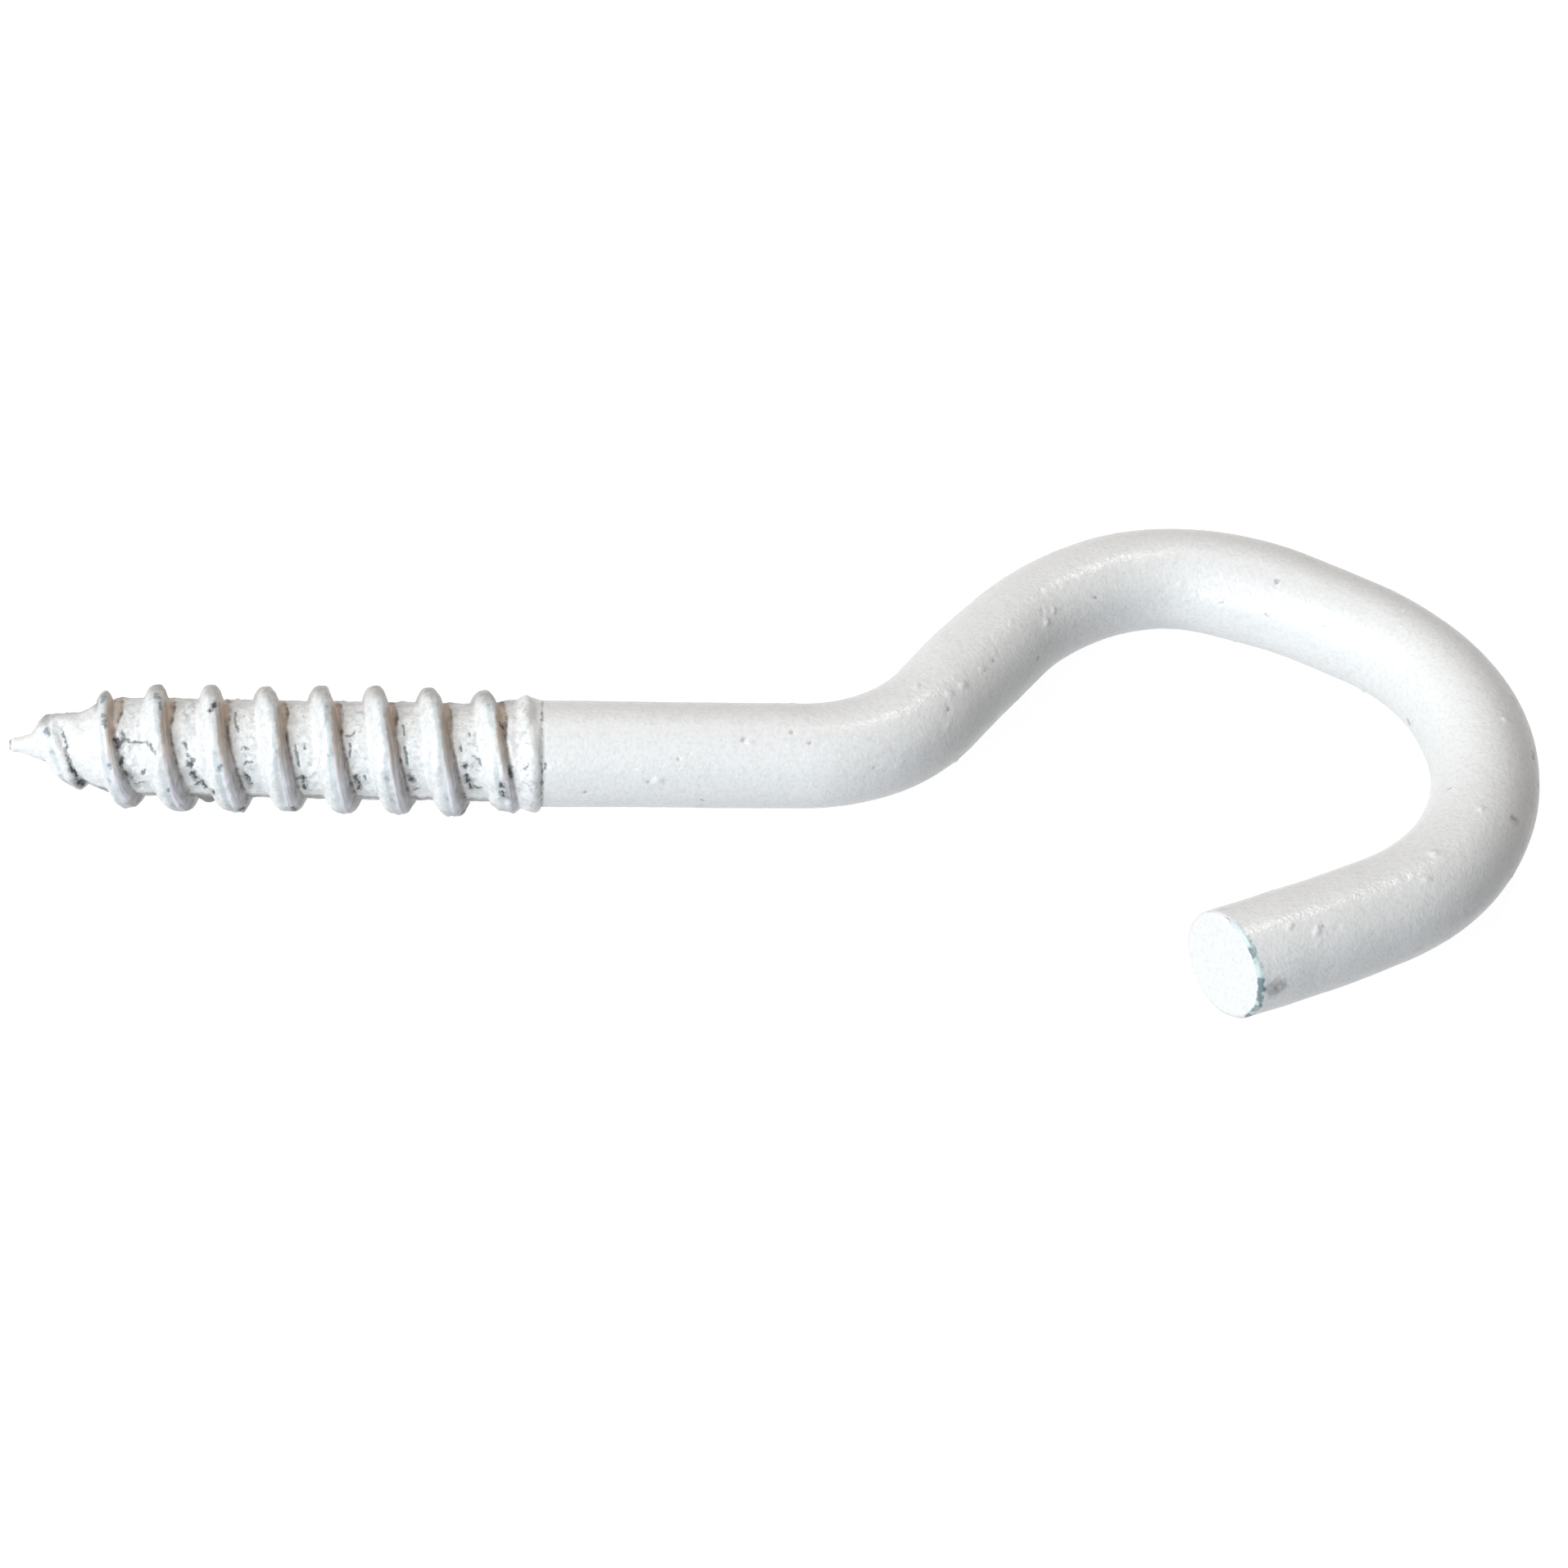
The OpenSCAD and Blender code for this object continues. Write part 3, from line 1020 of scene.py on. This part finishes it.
    # The coat's own unevenness, and a rougher surface where it is broken up or missing.
    height = add_node(tree, "Math", {0: frayed, 1: 0.8, 2: blotches}, operation="MULTIPLY_ADD")
    bump = add_node(tree, "Bump", {"Strength": 0.5, "Distance": 0.05 * MM, "Height": height})
    bare = soiled
    for missing in (chip, rim):
        bare = add_node(tree, "Math", {0: bare, 1: missing}, operation="MAXIMUM")
    inputs = {"Value": breaks, "From Min": 0.3, "From Max": 0.7, "To Min": 0.36, "To Max": 0.5}
    rough = add_node(tree, "MapRange", inputs)
    rough = add_node(tree, "Math", {0: bare, 1: 0.2, 2: rough}, operation="MULTIPLY_ADD")
    inputs = {"Base Color": body, "Roughness": rough, "IOR": 1.5, "Normal": bump}
    inputs.update({"Coat Weight": 0.4, "Coat Roughness": 0.18, "Coat Normal": bump})
    surface = add_node(tree, "BsdfPrincipled", inputs)
    add_node(tree, "OutputMaterial", {"Surface": surface})
    return material


class HOOK_OT_model_hook(bpy.types.Operator):
    """Models the screw hook as one length of coated wire and gives it its finish"""

    bl_idname = "hook.model_hook"
    bl_label = "Model the hook"

    def execute(self, context):
        wire = context.scene.hook_wire
        thread = context.scene.hook_thread
        coat = context.scene.hook_coat
        piece = draw_wire(wire, thread)
        saw_end(piece, wire)
        note_rim(piece, wire)
        bend_by_hand(piece, wire)
        roll_thread(piece, wire, thread)
        note_thread(piece, thread)
        lay_coat(piece, wire, thread, coat)
        bpy.ops.object.shade_smooth()
        piece.data.materials.append(powder_coated_steel(coat))
        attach(piece, "root")
        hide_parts("screw_hook")
        return {"FINISHED"}


# ---- the stage


def seen_directly(tree):
    """1 for what the camera sees, itself or in a gloss or through glass, else 0."""
    path = add_node(tree, "LightPath")
    seen = path.outputs["Is Camera Ray"]
    for ray in ("Is Glossy Ray", "Is Transmission Ray"):
        seen = add_node(tree, "Math", {0: seen, 1: path.outputs[ray]}, operation="MAXIMUM")
    return seen


def pale_floor(stage):
    """A sheet of matt white board, which shows white and keeps a faint shadow."""
    material = bpy.data.materials.new("matt white board")
    tree = empty_tree(material)
    board = add_node(tree, "BsdfDiffuse", {"Color": tuple(stage.floor)})
    faint = add_node(tree, "BsdfDiffuse", {"Color": (0.22, 0.22, 0.22, 1)})
    white = add_node(tree, "Emission", {"Strength": 0.94})
    shown = add_node(tree, "AddShader", {0: faint, 1: white})
    mixed = add_node(tree, "MixShader", {0: seen_directly(tree), 1: board, 2: shown})
    add_node(tree, "OutputMaterial", {"Surface": mixed})
    return material


def plain_world(tint, strength):
    """An even glow all round, behind which the background is white."""
    world = bpy.data.worlds.new("studio")
    tree = empty_tree(world)
    glow = add_node(tree, "Background", {"Color": linear(tint), "Strength": strength})
    white = add_node(tree, "Background", {"Color": (1, 1, 1, 1), "Strength": 1.0})
    mixed = add_node(tree, "MixShader", {0: seen_directly(tree), 1: glow, 2: white})
    add_node(tree, "OutputWorld", {"Surface": mixed})
    return world


def outward(azimuth, elevation):
    """The direction from the part to what stands at an azimuth and an elevation."""
    level = cos(elevation)
    return Vector((sin(azimuth) * level, -cos(azimuth) * level, sin(elevation)))


def softbox(name, azimuth, elevation, power, size, tint, distance=0.6):
    """A square lamp that faces the part, placed by its angles as the camera is."""
    away = outward(radians(azimuth), radians(elevation))
    bpy.ops.object.light_add(type="AREA", location=distance * away)
    lamp = bpy.context.object
    lamp.name = lamp.data.name = name
    lamp.rotation_euler = away.to_track_quat("Z", "Y").to_euler()
    lamp.data.size = size
    lamp.data.energy = power
    lamp.data.color = linear(tint)[:3]
    lamp.visible_camera = False
    return lamp


def set_camera(stage):
    """The camera, which looks down on the hook as it lies flat."""
    back = outward(stage.view_azimuth, stage.view_elevation)
    right = Vector((cos(stage.view_azimuth), sin(stage.view_azimuth), 0))
    turn = Matrix((right, back.cross(right), back)).transposed()
    turn = turn @ Matrix.Rotation(stage.view_roll, 3, "Z")
    target = Vector((11.37, -1.84, 0)) * MM
    bpy.ops.object.camera_add(location=target + back * stage.view_distance)
    camera = bpy.context.object
    camera.rotation_euler = turn.to_euler()
    camera.data.sensor_width = 36
    camera.data.lens = 117.9
    camera.data.clip_start = 1 * MM
    camera.data.clip_end = 10
    bpy.context.scene.camera = camera


class HOOK_OT_set_stage(bpy.types.Operator):
    """Sets the pale floor, the soft lamps and the camera"""

    bl_idname = "hook.set_stage"
    bl_label = "Set the stage"

    def execute(self, context):
        stage = context.scene.hook_stage
        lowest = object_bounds()[0].z
        bpy.ops.object.select_all(action="DESELECT")
        bpy.ops.mesh.primitive_plane_add(size=4, location=(0, 0, lowest))
        floor = bpy.context.object
        floor.name = floor.data.name = "floor"
        floor.data.materials.append(pale_floor(stage))
        floor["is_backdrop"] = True
        context.scene.world = plain_world("#ffffff", 0.055)
        softbox("window", -60, 38, 2.95, 0.4, "#fbffff")
        softbox("low window", -30, 12, 2.3, 0.4, "#eaf4ff")
        behind = softbox("lamp behind", 200, 65, 0.9, 0.3, "#fff6f3")
        behind.visible_glossy = False
        softbox("bulb", 140, 65, 0.5, 0.05, "#fff8f0")
        set_camera(stage)
        context.scene.view_settings.view_transform = "Standard"
        return {"FINISHED"}


class HOOK_PT_panel(bpy.types.Panel):
    """Lists the steps that make the hook"""

    bl_idname = "HOOK_PT_panel"
    bl_label = "Screw hook"
    bl_space_type = "VIEW_3D"
    bl_region_type = "UI"
    bl_category = "Hook"

    def draw(self, context):
        for step in STEPS:
            self.layout.operator(step.bl_idname)


SETTINGS = {
    "hook_wire": WireSizes,
    "hook_thread": ThreadSizes,
    "hook_coat": CoatLook,
    "hook_stage": StageLook,
}
STEPS = (HOOK_OT_model_hook, HOOK_OT_set_stage)
CLASSES = (*SETTINGS.values(), *STEPS, HOOK_PT_panel)


def register():
    for cls in CLASSES:
        bpy.utils.register_class(cls)
    for name, group in SETTINGS.items():
        setattr(bpy.types.Scene, name, PointerProperty(type=group))


def unregister():
    for name in SETTINGS:
        delattr(bpy.types.Scene, name)
    for cls in reversed(CLASSES):
        bpy.utils.unregister_class(cls)


def main():
    register()
    bpy.ops.hook.model_hook()
    bpy.ops.hook.set_stage()


if __name__ == "__main__":
    main()
